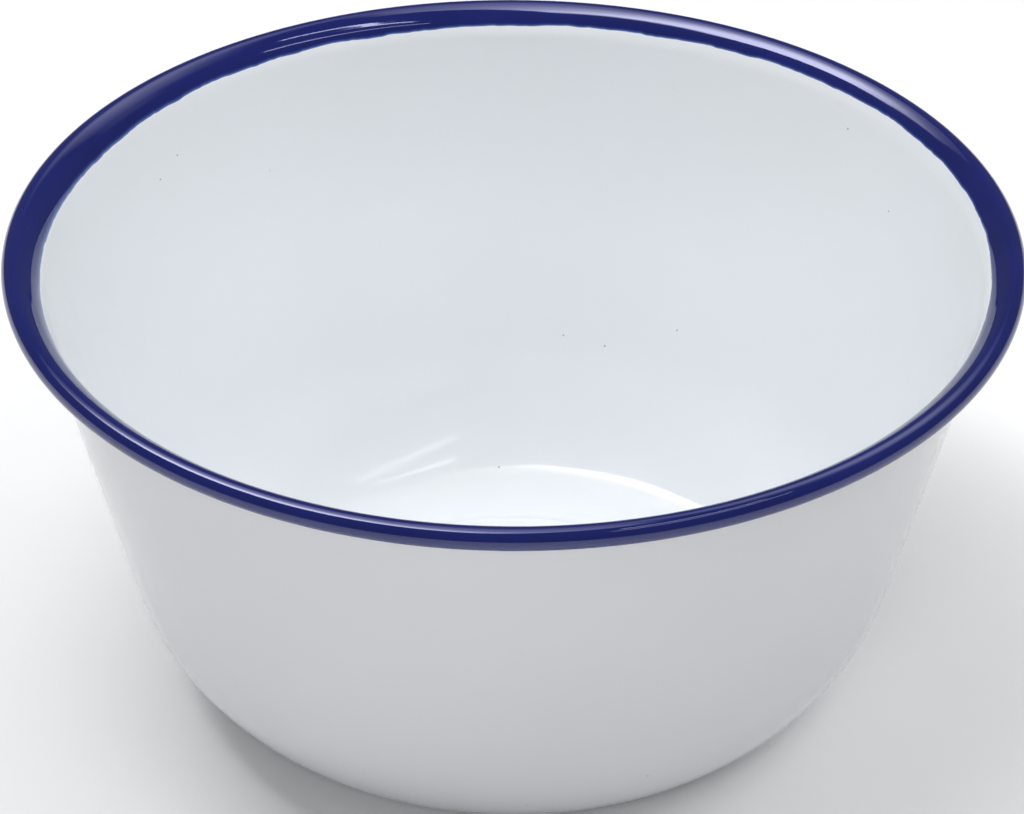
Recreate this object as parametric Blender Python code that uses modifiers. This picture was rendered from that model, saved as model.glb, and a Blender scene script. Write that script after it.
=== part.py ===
"""Enamelled steel basin with a rolled blue rim: one pressed sheet and the glass coats fused to it.

Metres, +Z up. The origin is the middle of the base, on the surface that the basin stands on.

One reference curve, the visible face, runs from the axis along the floor, up the inside of the wall,
over the shoulder and round the rolled rim. The sheet and each coat lie between two depths below that face,
so the layers nest with the same small clearance everywhere.
"""

import math

import bmesh
import bpy
from mathutils import Vector

MM = 0.001

# Overall size
RIM_DIAMETER = 160.0 * MM
HEIGHT = 76.9 * MM

# Outer face of the body, from the base up
BASE_FLAT_RADIUS = 43.8 * MM
CORNER_RADIUS = 8.0 * MM
CORNER_TURN = math.radians(37.0)
BELLY_RADIUS = 36.4 * MM
WALL_SLOPE = math.radians(75.6)  # from the horizontal

# Middle of the base, pressed up so that the basin stands on a flat ring
RAISED_RADIUS = 31.5 * MM
RAISED_HEIGHT = 0.8 * MM
RAISED_EDGE_TURN = math.radians(25.0)

# Rolled rim: the wall turns out over a shoulder, which runs into the bead at this slope
BEAD_RADIUS = 1.8 * MM
SHOULDER_END_SLOPE = math.radians(30.0)
BEAD_TURN = math.radians(270.0)  # the curl stays open beside the wall
OUTSIDE_COATS_END_SLOPE = math.radians(54.0)
BLUE_BEGINS_SLOPE = math.radians(60.0)
COAT_JOINT = math.radians(2.5)  # the gap between the white and the blue, about 0.3 mm round the shoulder

# Layers
COVER_COAT = 0.20 * MM
GROUND_COAT = 0.08 * MM
SHEET = 0.50 * MM
CLEARANCE = 0.02 * MM
TOTAL_WALL = 2 * COVER_COAT + 2 * GROUND_COAT + SHEET + 4 * CLEARANCE

# Facets
STEPS_ROUND = 40
RAISED_EDGE_STEPS = 2
CORNER_STEPS = 3
BELLY_STEPS = 4
BEAD_STEPS = 9


def along(angle):
    """The way a curve runs when its slope is this angle."""
    return Vector((math.cos(angle), math.sin(angle)))


def inwards(angle):
    """From the visible face into the wall: to the right of the way the curve runs."""
    return Vector((math.sin(angle), -math.cos(angle)))


def add_straight(stations, length):
    point, angle = stations[-1]
    stations.append((point + along(angle) * length, angle))


def add_arc(stations, radius, turn, steps):
    """Adds an arc's stations. A positive turn is to the left, up and inwards on the body."""
    point, angle = stations[-1]
    arm = math.copysign(radius, turn)
    centre = point - inwards(angle) * arm
    for step in range(1, steps + 1):
        slope = angle + turn * step / steps
        stations.append((centre + inwards(slope) * arm, slope))


def wall_and_shoulder(belly_end):
    """The wall's length and the shoulder's radius that bring the bead to its height and the rim's diameter."""
    bead_centre = Vector((RIM_DIAMETER / 2 - BEAD_RADIUS, HEIGHT - BEAD_RADIUS))
    wall = along(WALL_SLOPE)
    arm = inwards(WALL_SLOPE) - inwards(SHOULDER_END_SLOPE)
    rest = bead_centre - inwards(SHOULDER_END_SLOPE) * BEAD_RADIUS - belly_end
    cross = wall.x * arm.y - wall.y * arm.x
    wall_length = (rest.x * arm.y - rest.y * arm.x) / cross
    shoulder_radius = (wall.x * rest.y - wall.y * rest.x) / cross
    return wall_length, shoulder_radius


def visible_face():
    """Stations along the visible face, as (point, slope), and where each coat ends or begins among them."""
    edge_radius = RAISED_HEIGHT / (2 * (1 - math.cos(RAISED_EDGE_TURN)))
    stations = [(Vector((0.0, TOTAL_WALL + RAISED_HEIGHT)), 0.0)]
    add_straight(stations, RAISED_RADIUS)
    add_arc(stations, edge_radius, -RAISED_EDGE_TURN, RAISED_EDGE_STEPS)
    add_arc(stations, edge_radius, RAISED_EDGE_TURN, RAISED_EDGE_STEPS)
    add_straight(stations, BASE_FLAT_RADIUS - stations[-1][0].x)
    add_arc(stations, CORNER_RADIUS - TOTAL_WALL, CORNER_TURN, CORNER_STEPS)
    add_arc(stations, BELLY_RADIUS - TOTAL_WALL, WALL_SLOPE - CORNER_TURN, BELLY_STEPS)
    wall_length, shoulder_radius = wall_and_shoulder(stations[-1][0])
    add_straight(stations, wall_length)

    slope = WALL_SLOPE
    places = {}
    for name, next_slope, steps in (
        ("white ends", BLUE_BEGINS_SLOPE + COAT_JOINT, 2),
        ("blue begins", BLUE_BEGINS_SLOPE, 1),
        ("outside coats end", OUTSIDE_COATS_END_SLOPE, 1),
        ("bead begins", SHOULDER_END_SLOPE, 3),
    ):
        add_arc(stations, shoulder_radius, next_slope - slope, steps)
        places[name] = len(stations) - 1
        slope = next_slope
    add_arc(stations, BEAD_RADIUS, -BEAD_TURN, BEAD_STEPS)
    return stations, places


def layer_outline(stations, shallow, deep):
    """Outline of a layer in section: outwards along its shallow side, and back along its deep side."""
    out = [point + inwards(slope) * shallow for point, slope in stations]
    back = [point + inwards(slope) * deep for point, slope in reversed(stations)]
    return out + back


def finish_of(name, colour, roughness, metallic, coat=0.0):
    material = bpy.data.materials.new(name)
    material.use_nodes = True
    shader = material.node_tree.nodes["Principled BSDF"]
    shader.inputs["Base Color"].default_value = (*colour, 1.0)
    shader.inputs["Roughness"].default_value = roughness
    shader.inputs["Metallic"].default_value = metallic
    shader.inputs["Coat Weight"].default_value = coat
    return material


def turned_piece(name, outline, material, collection, parent):
    """One object: its section as a wire in the XZ plane, turned about Z by a Screw modifier."""
    on_axis = outline[0].x == 0.0
    section = bmesh.new()
    corners = [section.verts.new((point.x, 0.0, point.y)) for point in outline]
    for start, end in zip(corners, corners[1:]):
        section.edges.new((start, end))
    if not on_axis:
        section.edges.new((corners[-1], corners[0]))
    mesh = bpy.data.meshes.new(name)
    section.to_mesh(mesh)
    section.free()
    mesh.materials.append(material)

    piece = bpy.data.objects.new(name, mesh)
    piece.parent = parent
    collection.objects.link(piece)
    turn = piece.modifiers.new("Turn", "SCREW")
    turn.axis = "Z"
    turn.steps = STEPS_ROUND
    turn.render_steps = STEPS_ROUND
    turn.use_merge_vertices = True
    turn.merge_threshold = CLEARANCE / 4
    turn.use_smooth_shade = True
    return piece


def build_basin():
    collection = bpy.data.collections.new("Enamel Basin")
    bpy.context.scene.collection.children.link(collection)
    origin = bpy.data.objects.new("basin_origin", None)
    origin.empty_display_size = 0.02
    collection.objects.link(origin)

    steel = finish_of("Pressed Steel", (0.42, 0.43, 0.45), 0.4, 1.0)
    ground = finish_of("Ground Enamel", (0.008, 0.01, 0.028), 0.18, 0.0)
    white = finish_of("White Enamel", (0.78, 0.81, 0.84), 0.1, 0.0, coat=0.3)
    blue = finish_of("Blue Enamel", (0.016, 0.022, 0.135), 0.08, 0.0, coat=0.3)

    ground_top = COVER_COAT + CLEARANCE
    steel_top = ground_top + GROUND_COAT + CLEARANCE
    ground_below = steel_top + SHEET + CLEARANCE
    cover_below = ground_below + GROUND_COAT + CLEARANCE

    stations, places = visible_face()
    body = stations[: places["outside coats end"] + 1]
    inside = stations[: places["white ends"] + 1]
    rim = stations[places["blue begins"] :]

    layers = (
        ("steel_body", stations, steel_top, SHEET, steel),
        ("ground_coat_inside", stations, ground_top, GROUND_COAT, ground),
        ("ground_coat_outside", body, ground_below, GROUND_COAT, ground),
        ("white_enamel_inside", inside, 0.0, COVER_COAT, white),
        ("white_enamel_outside", body, cover_below, COVER_COAT, white),
        ("blue_rim_enamel", rim, 0.0, COVER_COAT, blue),
    )
    for name, stretch, top, thickness, material in layers:
        outline = layer_outline(stretch, top, top + thickness)
        turned_piece(name, outline, material, collection, origin)


def clear_scene():
    for thing in list(bpy.data.objects):
        bpy.data.objects.remove(thing, do_unlink=True)


clear_scene()
build_basin()
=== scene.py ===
"""Looks of the enamelled basin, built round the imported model: fine turned pieces, enamel and studio light.

Metres, +Z up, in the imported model's frame: the origin is the middle of the base. Every piece follows one
reference curve, the visible face, which runs from the axis along the floor, up the inside of the wall, over
the shoulder and round the rolled rim. A piece is the space between two depths below that face.
"""

import math

import bmesh
import bpy
import numpy as np
from mathutils import Matrix, Vector


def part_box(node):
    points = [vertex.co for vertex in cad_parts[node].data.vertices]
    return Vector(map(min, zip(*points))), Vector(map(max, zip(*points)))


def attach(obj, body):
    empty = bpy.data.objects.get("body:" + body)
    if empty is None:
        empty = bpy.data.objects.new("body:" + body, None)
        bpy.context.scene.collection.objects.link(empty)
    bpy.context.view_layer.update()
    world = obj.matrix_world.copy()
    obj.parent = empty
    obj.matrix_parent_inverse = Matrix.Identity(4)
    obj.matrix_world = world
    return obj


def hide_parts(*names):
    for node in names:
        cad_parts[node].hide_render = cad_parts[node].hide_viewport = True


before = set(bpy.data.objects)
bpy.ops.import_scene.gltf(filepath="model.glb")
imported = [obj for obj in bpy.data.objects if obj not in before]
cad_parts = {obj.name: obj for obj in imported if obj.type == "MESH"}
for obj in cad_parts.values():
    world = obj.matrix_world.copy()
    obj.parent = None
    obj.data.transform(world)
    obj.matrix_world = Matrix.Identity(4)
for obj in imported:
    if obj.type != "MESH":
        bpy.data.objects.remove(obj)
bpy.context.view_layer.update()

MM = 0.001
rim_low, rim_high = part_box("blue_rim_enamel")
RIM_RADIUS = (rim_high.x - rim_low.x) / 2
HEIGHT = rim_high.z

# The section of the body and the rim, as in the CAD model
BASE_FLAT_RADIUS = 43.8 * MM
CORNER_RADIUS = 8.0 * MM
CORNER_TURN = math.radians(37.0)
BELLY_RADIUS = 36.4 * MM
WALL_SLOPE = math.radians(75.6)
RAISED_RADIUS = 31.5 * MM
RAISED_HEIGHT = 0.8 * MM
RAISED_EDGE_TURN = math.radians(25.0)
BEAD_RADIUS = 1.8 * MM
SHOULDER_END_SLOPE = math.radians(30.0)
BEAD_TURN = math.radians(270.0)
OUTSIDE_COATS_END_SLOPE = math.radians(54.0)

# Layers, outwards from the visible face
COVER_COAT = 0.20 * MM
GROUND_COAT = 0.08 * MM
SHEET = 0.50 * MM
CLEARANCE = 0.02 * MM
GROUND_TOP = COVER_COAT + CLEARANCE
STEEL_TOP = GROUND_TOP + GROUND_COAT + CLEARANCE
GROUND_BELOW = STEEL_TOP + SHEET + CLEARANCE
COVER_BELOW = GROUND_BELOW + GROUND_COAT + CLEARANCE
TOTAL_WALL = COVER_BELOW + COVER_COAT

# How far the rim is out of round: an oval and a three-lobed wave, each with its phase
OVAL = 0.10 * MM
OVAL_PHASE = 0.6
LOBES = 0.07 * MM
LOBES_PHASE = -1.1

# The blue coat's edge on the inside, as lengths along the face from the wall's top
EDGE_PLACE = 1.95 * MM
EDGE_LEAN = 1.0 * MM  # the blue reaches this much further down on one side, and less on the other
EDGE_LEAN_TOWARDS = math.radians(-137.0)
EDGE_WAVES = ((14, 0.20 * MM), (60, 0.14 * MM), (190, 0.09 * MM), (520, 0.05 * MM))  # knots, height
EDGE_SEED = 11
EDGE_LIP = 0.05 * MM  # how far the blue stands above the white
EDGE_LIP_RUN = 0.35 * MM
# The blue is paler near its inner edge, partly where the coat is thin over the white and partly as painted
# reflection of the white inside; the longer pale run on the side where it reaches furthest down is that painted
# reflection
THIN_RUN = 0.5 * MM  # over this length from its edge the blue thickens to its full colour
THIN_RUN_MORE = 2.6  # and over so many times more where it reaches furthest down
THIN_RUN_FOCUS = 3  # the power that keeps the longer run to that side
WHITE_REACH = 3.5 * MM  # the white runs on under the blue to here
BLUE_STEADY = 4.4 * MM  # and from here the blue lies on the ground coat at its full depth
LIP_BOND = 0.006 * MM  # how far the blue's lip sinks into the white

# Mesh fineness: steps round the basin, and coarse and fine steps along the face
SHOWN = (384, 3.0 * MM, 1.0 * MM)
HIDDEN = (192, 6.0 * MM, 2.0 * MM)
RIM_FINER = 3  # the steps on the rim are so many times finer
RIM_ROUND_STEPS = RIM_FINER * SHOWN[0]
RIM_STEP = 1.0 * MM
RIM_STEP_BELOW = 1.5 * MM
TABLE_STEP = 0.03 * MM
LIP_STEPS = 5
LIP_CROWDING = 1.5  # the power that crowds the lip's steps towards the edge
LAP_STEPS = 10
ON_AXIS = 1e-9
WELD = 1e-7
SHARP_ANGLE = math.radians(50)

# Enamel, as linear red, green and blue
WHITE_INSIDE = (0.815, 0.842, 0.868)
WHITE_INSIDE_WARM = (0.805, 0.828, 0.850)
# The outside white is the inside's enamel painted darker: painted shade for the outer wall, which faces down
# and gets less light
WHITE_OUTSIDE = (0.704, 0.719, 0.742)
WHITE_OUTSIDE_WARM = (0.695, 0.709, 0.729)
PINHOLE_GREY = (0.42, 0.43, 0.45)
PINHOLE_CELL = 8.5 * MM
COBALT_DEEP = (0.0060, 0.0105, 0.105)
COBALT = (0.0090, 0.0145, 0.130)
# Pale blues for the inner edge: the thin coat over the white, and painted reflection of the white inside
THIN_COBALT = ((0.0, (0.20, 0.33, 0.52)), (0.25, (0.085, 0.125, 0.33)), (0.6, (0.026, 0.050, 0.23)))
WHITE_IOR = 1.52
BLUE_IOR = 1.80
BLUE_REFLECTION = (0.74, 0.75, 1.0, 1.0)

# Camera: where the photographer's lens stood, for a basin of this size
VIEW_DISTANCE = 10.0 * RIM_RADIUS
VIEW_ELEVATION = math.radians(33.81)
VIEW_TURN_HEIGHT = 40.9 * MM
VIEW_TARGET = (-0.15 * MM, 0.0, 46.04 * MM)
VIEW_ROLL = math.radians(0.20)
VIEW_LENS = 175.25
VIEW_NEAREST = 0.01
VIEW_FURTHEST = 20.0

# Studio. Shades are ramps of brightness: (place, brightness)
FLOOR_HALF_SIZE = 3.0
FLOOR_DROP = 0.02 * MM
SOFTBOX_TURN = math.radians(41)
SOFTBOX_ACROSS = ((0.0, 1.0), (0.22, 1.0), (0.36, 0.5), (0.5, 0.28), (0.65, 0.16), (1.0, 0.10))
SOFTBOX_LENGTHWAYS = ((0.0, 1.0), (0.55, 1.0), (0.8, 0.3), (1.0, 0.1))
SOFTBOX_CORNERS = ((0.68, 1.0), (0.78, 0.0))
PANEL_FADE = ((0.0, 0.0), (0.38, 1.0), (0.62, 1.0), (1.0, 0.0))
NO_CUT = ((0.0, 1.0), (1.0, 1.0))
STRIP_TURN = math.radians(54)
WORLD_COLOUR = (0.92, 0.95, 1.0, 1.0)
WORLD_STRENGTH = 0.13


# ---------------------------------------------------------------- the reference curve

def along(angle):
    return np.array((math.cos(angle), math.sin(angle)))


def inwards(angle):
    """From the visible face into the wall: to the right of the way the curve runs."""
    return np.array((math.sin(angle), -math.cos(angle)))


class Face:
    """The visible face as a dense table of radius, height and slope against the length run from the axis."""

    def __init__(self):
        self.rows = [(0.0, TOTAL_WALL + RAISED_HEIGHT, 0.0, 0.0)]
        self.ends = {}
        edge_radius = RAISED_HEIGHT / (2 * (1 - math.cos(RAISED_EDGE_TURN)))
        self.straight("raised floor", RAISED_RADIUS)
        self.arc("raised edge", edge_radius, -RAISED_EDGE_TURN)
        self.arc("raised foot", edge_radius, RAISED_EDGE_TURN)
        self.straight("floor", BASE_FLAT_RADIUS - self.rows[-1][0])
        self.arc("corner", CORNER_RADIUS - TOTAL_WALL, CORNER_TURN)
        self.arc("belly", BELLY_RADIUS - TOTAL_WALL, WALL_SLOPE - CORNER_TURN)
        wall_length, self.shoulder_radius = self.wall_and_shoulder()
        self.straight("wall", wall_length)
        self.arc("shoulder", self.shoulder_radius, SHOULDER_END_SLOPE - WALL_SLOPE)
        self.arc("bead", BEAD_RADIUS, -BEAD_TURN)
        self.table = np.array(self.rows)

    def wall_and_shoulder(self):
        """The wall's length and the shoulder's radius that bring the bead to its place on the rim."""
        here = np.array(self.rows[-1][:2])
        bead_centre = np.array((RIM_RADIUS - BEAD_RADIUS, HEIGHT - BEAD_RADIUS))
        arm = inwards(WALL_SLOPE) - inwards(SHOULDER_END_SLOPE)
        rest = bead_centre - here - inwards(SHOULDER_END_SLOPE) * BEAD_RADIUS
        return np.linalg.solve(np.column_stack((along(WALL_SLOPE), arm)), rest)

    def straight(self, name, length):
        radius, height, slope, run = self.rows[-1]
        end = np.array((radius, height)) + along(slope) * length
        self.rows.append((*end, slope, run + length))
        self.ends[name] = run + length

    def arc(self, name, radius, turn):
        """Adds an arc. A positive turn is to the left, up and inwards on the body."""
        x, z, slope, run = self.rows[-1]
        arm = math.copysign(radius, turn)
        centre = np.array((x, z)) - inwards(slope) * arm
        length = radius * abs(turn)
        for share in np.linspace(0.0, 1.0, int(length / TABLE_STEP) + 2)[1:]:
            angle = slope + turn * share
            self.rows.append((*(centre + inwards(angle) * arm), angle, run + length * share))
        self.ends[name] = run + length

    def at(self, run, depth):
        """Radius and height at a length from the axis and a depth below the visible face."""
        radius, height, slope, runs = self.table.T
        angle = np.interp(run, runs, slope)
        return (
            np.interp(run, runs, radius) + depth * np.sin(angle),
            np.interp(run, runs, height) - depth * np.cos(angle),
        )

    def runs(self, start, stop, coarse, fine):
        """Lengths from start to stop: coarse steps on straights, fine ones on arcs, finest on the rim."""
        marks = [start]
        for name, end in self.ends.items():
            if end <= start:
                continue
            step = coarse if name in ("raised floor", "floor", "wall") else fine
            if name in ("shoulder", "bead"):
                step = fine / RIM_FINER
            low, high = marks[-1], min(end, stop)
            if high > low:
                count = max(1, math.ceil((high - low) / step))
                marks.extend(np.linspace(low, high, count + 1)[1:])
        return np.array(marks)


FACE = Face()
SHOULDER_START = FACE.ends["wall"]
BODY_END = SHOULDER_START + FACE.shoulder_radius * (WALL_SLOPE - OUTSIDE_COATS_END_SLOPE)
RIM_END = FACE.ends["bead"]
WHITE_END = SHOULDER_START + WHITE_REACH


# ---------------------------------------------------------------- meshes

def out_of_round(theta, height):
    """How far the pressed and fired sheet stands out of true: two slow waves that fade towards the base."""
    rise = np.clip(height / HEIGHT, 0.0, 1.0) ** 2
    return rise * (OVAL * np.cos(2 * theta + OVAL_PHASE) + LOBES * np.cos(3 * theta + LOBES_PHASE))


def turned_mesh(name, theta, near_run, near_depth, far_run, far_depth):
    """A closed ring or cup: out along its near side and back along its far side, at every angle theta.

    The run and depth arrays are (angles, stations). Where the first station is on the axis, it is a cup.
    """
    near_radius, near_height = FACE.at(near_run, near_depth)
    far_radius, far_height = FACE.at(far_run[:, ::-1], far_depth[:, ::-1])
    radius = np.hstack((near_radius, far_radius))
    height = np.hstack((near_height, far_height))
    cup = radius[0, 0] < ON_AXIS
    around = theta[:, None]
    radius = np.where(radius > ON_AXIS, radius + out_of_round(around, height), 0.0)
    points = np.stack((radius * np.cos(around), radius * np.sin(around), height), axis=2)

    number = np.arange(radius.size).reshape(radius.shape)
    beside = np.roll(number, -1, axis=0)
    quads = np.stack((number, np.roll(number, -1, axis=1), np.roll(beside, -1, axis=1), beside), axis=2)
    if cup:
        quads = quads[:, :-1]
    mesh = bpy.data.meshes.new(name)
    mesh.from_pydata(points.reshape(-1, 3).tolist(), [], quads.reshape(-1, 4).tolist())
    if cup:
        work = bmesh.new()
        work.from_mesh(mesh)
        bmesh.ops.remove_doubles(work, verts=work.verts, dist=WELD)
        work.to_mesh(mesh)
        work.free()
    mesh.shade_smooth()
    mesh.set_sharp_from_angle(angle=SHARP_ANGLE)
    return mesh


def full_circle(steps):
    return np.linspace(0.0, 2 * math.pi, steps, endpoint=False)


def layer_mesh(name, start, stop, shallow, deep, steps, coarse, fine):
    """A layer of even thickness between two lengths along the visible face."""
    run = np.tile(FACE.runs(start, stop, coarse, fine), (steps, 1))
    return turned_mesh(name, full_circle(steps), run, np.full_like(run, shallow), run, np.full_like(run, deep))


def ragged(theta, count, height, dice):
    """A smooth wave round the rim through random heights at evenly spread angles."""
    knots = dice.uniform(-1.0, 1.0, count)
    place = theta / (2 * math.pi) * count
    low = np.floor(place).astype(int)
    share = place - low
    share = share * share * (3 - 2 * share)
    return height * (knots[low % count] * (1 - share) + knots[(low + 1) % count] * share)


def blue_edge_run(theta):
    """Where the blue coat's inner edge lies: brushed by hand, so it leans, wanders and is finely ragged."""
    dice = np.random.default_rng(EDGE_SEED)
    lean = EDGE_LEAN * np.cos(theta - EDGE_LEAN_TOWARDS)
    waves = sum(ragged(theta, count, height, dice) for count, height in EDGE_WAVES)
    return SHOULDER_START + EDGE_PLACE - lean + waves


def blue_rim_mesh(name):
    """The blue coat: a thin lip over the white, then its full depth over the shoulder and the bead.

    Its attribute from_edge rises from 0 at the inner edge to 1 where the coat has its full colour.
    """
    theta = full_circle(RIM_ROUND_STEPS)
    edge = blue_edge_run(theta)[:, None]
    steady = SHOULDER_START + BLUE_STEADY

    def stations(lip_steps, lap_steps, step):
        lip = edge + np.linspace(0.0, 1.0, lip_steps + 1) ** LIP_CROWDING * EDGE_LIP_RUN
        lap = lip[:, -1:] + (steady - lip[:, -1:]) * np.linspace(0.0, 1.0, lap_steps + 1)[1:-1]
        rest = FACE.runs(steady, RIM_END, step, step)
        return np.hstack((lip, lap, np.tile(rest, (RIM_ROUND_STEPS, 1))))

    near = stations(LIP_STEPS, LAP_STEPS, RIM_STEP)
    far = stations(LIP_STEPS // 2, LAP_STEPS // 2, RIM_STEP_BELOW)
    rise = np.sqrt(np.clip((near - edge) / EDGE_LIP_RUN, 0.0, 1.0))
    settled = np.clip((near - WHITE_END) / (steady - WHITE_END), 0.0, 1.0)
    near_depth = -EDGE_LIP * rise * (1 - settled)
    over_white = np.clip((steady - far) / (steady - WHITE_END), 0.0, 1.0)
    far_depth = COVER_COAT + (LIP_BOND - COVER_COAT) * over_white
    mesh = turned_mesh(name, theta, near, near_depth, far, far_depth)

    # The pale zone runs longer towards the side where the blue reaches furthest down: painted reflection of the
    # white inside
    reach = ((1 + np.cos(theta - EDGE_LEAN_TOWARDS)) / 2) ** THIN_RUN_FOCUS
    thin_run = THIN_RUN * (1 + THIN_RUN_MORE * reach)[:, None]
    from_edge = np.hstack(((near - edge) / thin_run, np.ones_like(far)))
    mark = mesh.attributes.new("from_edge", "FLOAT", "POINT")
    mark.data.foreach_set("value", np.clip(from_edge, 0.0, 1.0).astype(np.float32).reshape(-1))
    return mesh


# ---------------------------------------------------------------- nodes

def noise(nodes, links, place, scale, detail=3.0):
    texture = nodes.new("ShaderNodeTexNoise")
    texture.inputs["Scale"].default_value = scale
    texture.inputs["Detail"].default_value = detail
    links.new(place, texture.inputs["Vector"])
    return texture.outputs["Fac"]


def ramp(nodes, links, factor, stops):
    """A colour ramp through (position, grey or colour) stops."""
    node = nodes.new("ShaderNodeValToRGB")
    links.new(factor, node.inputs["Fac"])
    elements = node.color_ramp.elements
    while len(elements) < len(stops):
        elements.new(1.0)
    for element, (position, colour) in zip(elements, stops):
        element.position = position
        element.color = (*colour, 1.0) if isinstance(colour, tuple) else (colour, colour, colour, 1.0)
    return node.outputs["Color"]


def mixed(nodes, links, factor, first, second, blend="MIX"):
    """Two colours blended. The factor and the colours are values or sockets."""
    node = nodes.new("ShaderNodeMix")
    node.data_type = "RGBA"
    node.blend_type = blend
    sockets = {socket.identifier: socket for socket in node.inputs}
    for identifier, value in (("Factor_Float", factor), ("A_Color", first), ("B_Color", second)):
        if isinstance(value, bpy.types.NodeSocket):
            links.new(value, sockets[identifier])
        else:
            sockets[identifier].default_value = (*value, 1.0) if isinstance(value, tuple) else value
    return next(socket for socket in node.outputs if socket.identifier == "Result_Color")


def bump(nodes, links, height, distance, strength=1.0):
    node = nodes.new("ShaderNodeBump")
    node.inputs["Distance"].default_value = distance
    node.inputs["Strength"].default_value = strength
    links.new(height, node.inputs["Height"])
    return node.outputs["Normal"]


def arithmetic(nodes, links, operation, *values):
    """A Math node on values or sockets."""
    node = nodes.new("ShaderNodeMath")
    node.operation = operation
    for socket, value in zip(node.inputs, values):
        if isinstance(value, bpy.types.NodeSocket):
            links.new(value, socket)
        else:
            socket.default_value = value
    return node.outputs[0]


# ---------------------------------------------------------------- materials

def new_material(name):
    """A material with its nodes, links, shader and the place on the object that its textures follow."""
    material = bpy.data.materials.new(name)
    material.use_nodes = True
    nodes = material.node_tree.nodes
    place = nodes.new("ShaderNodeTexCoord").outputs["Object"]
    return material, nodes, material.node_tree.links, nodes["Principled BSDF"], place


def white_enamel(name, tone, warm_tone):
    """Fused white glass: a slow drift of tone, a faint orange peel and a few pinholes."""
    material, nodes, links, shader, place = new_material(name)
    drift = noise(nodes, links, place, scale=28.0)
    colour = ramp(nodes, links, drift, ((0.3, warm_tone), (0.7, tone)))
    cells = nodes.new("ShaderNodeTexVoronoi")
    cells.inputs["Scale"].default_value = 1 / PINHOLE_CELL
    links.new(place, cells.inputs["Vector"])
    pinhole = ramp(nodes, links, cells.outputs["Distance"], ((0.018, 1.0), (0.026, 0.0)))
    links.new(mixed(nodes, links, pinhole, colour, PINHOLE_GREY), shader.inputs["Base Color"])
    gloss = ramp(nodes, links, noise(nodes, links, place, scale=90.0), ((0.25, 0.10), (0.8, 0.15)))
    links.new(gloss, shader.inputs["Roughness"])
    peel = noise(nodes, links, place, scale=230.0, detail=2.0)
    links.new(bump(nodes, links, peel, distance=0.02 * MM, strength=0.5), shader.inputs["Normal"])
    shader.inputs["IOR"].default_value = WHITE_IOR
    return material


def blue_enamel(name):
    """Fused cobalt glass: a little uneven in depth, and paler along its inner edge, partly where the coat is
    thin over the white and partly as a painted reflection of the white inside.
    """
    material, nodes, links, shader, place = new_material(name)
    depth = noise(nodes, links, place, scale=60.0)
    body = ramp(nodes, links, depth, ((0.3, COBALT_DEEP), (0.75, COBALT)))
    edge = nodes.new("ShaderNodeAttribute")
    edge.attribute_name = "from_edge"
    thin = ramp(nodes, links, edge.outputs["Fac"], THIN_COBALT)
    full_depth = ramp(nodes, links, edge.outputs["Fac"], ((0.45, 0.0), (1.0, 1.0)))
    links.new(mixed(nodes, links, full_depth, thin, body), shader.inputs["Base Color"])
    gloss = ramp(nodes, links, noise(nodes, links, place, scale=140.0), ((0.3, 0.035), (0.8, 0.08)))
    links.new(gloss, shader.inputs["Roughness"])
    peel = noise(nodes, links, place, scale=300.0, detail=2.0)
    links.new(bump(nodes, links, peel, distance=0.02 * MM, strength=0.6), shader.inputs["Normal"])
    shader.inputs["IOR"].default_value = BLUE_IOR
    shader.inputs["Specular Tint"].default_value = BLUE_REFLECTION
    return material


def ground_enamel(name):
    """The dark first coat, speckled with small bubbles."""
    material, nodes, links, shader, place = new_material(name)
    speck = noise(nodes, links, place, scale=900.0, detail=4.0)
    colour = ramp(nodes, links, speck, ((0.35, (0.006, 0.008, 0.022)), (0.75, (0.020, 0.024, 0.055))))
    links.new(colour, shader.inputs["Base Color"])
    gloss = ramp(nodes, links, speck, ((0.3, 0.15), (0.8, 0.35)))
    links.new(gloss, shader.inputs["Roughness"])
    links.new(bump(nodes, links, speck, distance=0.02 * MM), shader.inputs["Normal"])
    return material


def pressed_steel(name):
    """Drawn sheet: fine scratches up the draw, and pickled patches."""
    material, nodes, links, shader, place = new_material(name)
    stretch = nodes.new("ShaderNodeMapping")
    stretch.inputs["Scale"].default_value = (1.0, 1.0, 0.04)
    links.new(place, stretch.inputs["Vector"])
    grain = noise(nodes, links, stretch.outputs["Vector"], scale=1500.0, detail=5.0)
    patches = noise(nodes, links, place, scale=70.0)
    colour = ramp(nodes, links, patches, ((0.3, (0.30, 0.31, 0.33)), (0.75, (0.46, 0.47, 0.49))))
    links.new(colour, shader.inputs["Base Color"])
    gloss = ramp(nodes, links, grain, ((0.3, 0.30), (0.75, 0.52)))
    links.new(gloss, shader.inputs["Roughness"])
    links.new(bump(nodes, links, grain, distance=0.01 * MM), shader.inputs["Normal"])
    shader.inputs["Metallic"].default_value = 1.0
    return material


def studio_paper(name):
    material, nodes, links, shader, place = new_material(name)
    tone = ramp(nodes, links, noise(nodes, links, place, scale=6.0), ((0.3, 0.89), (0.7, 0.91)))
    links.new(tone, shader.inputs["Base Color"])
    shader.inputs["Roughness"].default_value = 0.9
    shader.inputs["Specular IOR Level"].default_value = 0.1
    return material


# ---------------------------------------------------------------- the basin

def add_piece(name, mesh, material, node):
    piece = bpy.data.objects.new(name, mesh)
    bpy.context.scene.collection.objects.link(piece)
    mesh.materials.append(material)
    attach(piece, "root")
    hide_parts(node)


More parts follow.
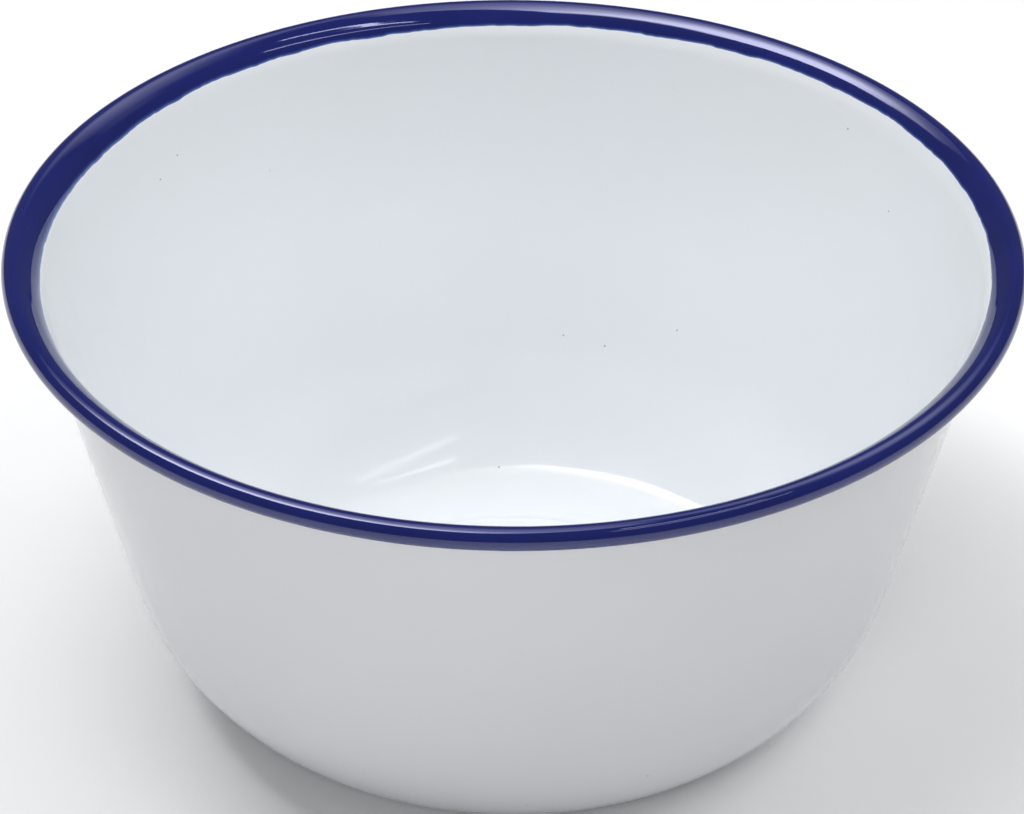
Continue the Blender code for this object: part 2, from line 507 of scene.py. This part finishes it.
def build_basin():
    white_in = white_enamel("White enamel, inside", WHITE_INSIDE, WHITE_INSIDE_WARM)
    # The outside coat's white is darker than the inside's: painted shade
    white_out = white_enamel("White enamel, outside, painted shade", WHITE_OUTSIDE, WHITE_OUTSIDE_WARM)
    blue = blue_enamel("Blue enamel")
    ground = ground_enamel("Ground enamel")
    steel = pressed_steel("Pressed steel")

    def layer(name, end, top, thickness, fineness, material, node):
        mesh = layer_mesh(name, 0.0, end, top, top + thickness, *fineness)
        add_piece(name, mesh, material, node)

    layer("steel_sheet", RIM_END, STEEL_TOP, SHEET, HIDDEN, steel, "steel_body")
    layer(
        "ground_enamel_in", RIM_END, GROUND_TOP, GROUND_COAT, HIDDEN, ground,
        "ground_coat_inside",
    )
    layer(
        "ground_enamel_out", BODY_END, GROUND_BELOW, GROUND_COAT, HIDDEN, ground,
        "ground_coat_outside",
    )
    layer("white_inside", WHITE_END, 0.0, COVER_COAT, SHOWN, white_in, "white_enamel_inside")
    layer(
        "white_outside", BODY_END, COVER_BELOW, COVER_COAT, SHOWN, white_out,
        "white_enamel_outside",
    )
    add_piece("blue_rim", blue_rim_mesh("blue_rim"), blue, "blue_rim_enamel")


# ---------------------------------------------------------------- camera, floor and light

def pointed(eye, target, roll=0.0):
    """A matrix at eye, with -Z towards target and +Y up, rolled about the view."""
    back = (eye - target).normalized()
    right = Vector((0.0, 0.0, 1.0)).cross(back).normalized()
    up = back.cross(right)
    turned_right = math.cos(roll) * right + math.sin(roll) * up
    turned_up = math.cos(roll) * up - math.sin(roll) * right
    matrix = Matrix((turned_right, turned_up, back)).transposed().to_4x4()
    matrix.translation = eye
    return matrix


def add_camera():
    """The camera stands on a circle about a point on the axis, and looks a little above that point."""
    forward, up = VIEW_DISTANCE * along(VIEW_ELEVATION)
    eye = Vector((0.0, -forward, up + VIEW_TURN_HEIGHT))
    data = bpy.data.cameras.new("Camera")
    data.lens = VIEW_LENS
    data.clip_start = VIEW_NEAREST
    data.clip_end = VIEW_FURTHEST
    camera = bpy.data.objects.new("Camera", data)
    camera.matrix_world = pointed(eye, Vector(VIEW_TARGET), VIEW_ROLL)
    bpy.context.scene.collection.objects.link(camera)
    bpy.context.scene.camera = camera


def add_floor():
    mesh = bpy.data.meshes.new("Floor")
    work = bmesh.new()
    bmesh.ops.create_grid(work, x_segments=1, y_segments=1, size=FLOOR_HALF_SIZE)
    work.to_mesh(mesh)
    work.free()
    mesh.materials.append(studio_paper("Studio paper"))
    floor = bpy.data.objects.new("Floor", mesh)
    floor.location.z = -FLOOR_DROP
    bpy.context.scene.collection.objects.link(floor)


def softbox_cloth(data, across, lengthways, corners):
    """Light through cloth, shaded across, lengthways and out to the corners, which the last shade can cut."""
    data.use_nodes = True
    nodes, links = data.node_tree.nodes, data.node_tree.links
    place = nodes.new("ShaderNodeSeparateXYZ")
    links.new(nodes.new("ShaderNodeNewGeometry").outputs["Parametric"], place.inputs[0])

    def off_middle(axis):
        from_middle = arithmetic(nodes, links, "SUBTRACT", place.outputs[axis], 0.5)
        return arithmetic(nodes, links, "ABSOLUTE", from_middle)

    to_corner = arithmetic(nodes, links, "ADD", off_middle("X"), off_middle("Y"))
    light = ramp(nodes, links, place.outputs["X"], across)
    for factor, shade in ((place.outputs["Y"], lengthways), (to_corner, corners)):
        light = mixed(nodes, links, 1.0, light, ramp(nodes, links, factor, shade), blend="MULTIPLY")
    links.new(light, nodes["Emission"].inputs["Color"])


def add_softbox(name, middle, size, brightness, turn=None, shades=None, in_reflections=True):
    """An area light with its middle so far right, back and up from the basin, in metres.

    Brightness 1 is a surface that shows as white. The light faces the basin or, where it has a turn, it is
    level and turned about the vertical. Its shades are for softbox_cloth.
    """
    data = bpy.data.lights.new(name, "AREA")
    data.shape = "RECTANGLE"
    data.size, data.size_y = size
    data.energy = brightness * math.pi * size[0] * size[1]
    if shades:
        softbox_cloth(data, *shades)
    light = bpy.data.objects.new(name, data)
    if turn is None:
        light.matrix_world = pointed(Vector(middle), Vector((0.0, 0.0, HEIGHT / 2)))
    else:
        light.matrix_world = Matrix.Translation(middle) @ Matrix.Rotation(turn, 4, "Z")
    light.visible_glossy = in_reflections
    bpy.context.scene.collection.objects.link(light)


def add_lights():
    """A softbox and a dim panel at the back, two strips at the front right, and two fills nothing reflects."""
    add_softbox(
        "Softbox", middle=(-0.435, 0.478, 1.1), size=(0.90, 1.555), brightness=9.1, turn=SOFTBOX_TURN,
        shades=(SOFTBOX_ACROSS, SOFTBOX_LENGTHWAYS, SOFTBOX_CORNERS),
    )
    add_softbox(
        "Back panel", middle=(0.54, 0.80, 1.24), size=(1.55, 0.90), brightness=1.35,
        shades=(PANEL_FADE, PANEL_FADE, NO_CUT),
    )
    add_softbox("Strip high", middle=(0.462, -0.207, 1.20), size=(0.50, 0.035), brightness=8.0, turn=STRIP_TURN)
    add_softbox("Strip low", middle=(0.598, -0.438, 1.20), size=(0.78, 0.045), brightness=4.5)
    for name, middle, size, brightness in (
        ("Fill right", (1.02, 0.12, 1.12), (1.2, 0.9), 2.4),
        ("Fill front", (-0.12, -1.32, 0.76), (0.8, 0.7), 3.2),
    ):
        add_softbox(name, middle, size, brightness, in_reflections=False)
    world = bpy.data.worlds.new("Studio")
    world.use_nodes = True
    background = world.node_tree.nodes["Background"]
    background.inputs["Color"].default_value = WORLD_COLOUR
    background.inputs["Strength"].default_value = WORLD_STRENGTH
    bpy.context.scene.world = world


add_camera()
build_basin()
add_floor()
add_lights()
bpy.context.scene.view_settings.view_transform = "Standard"
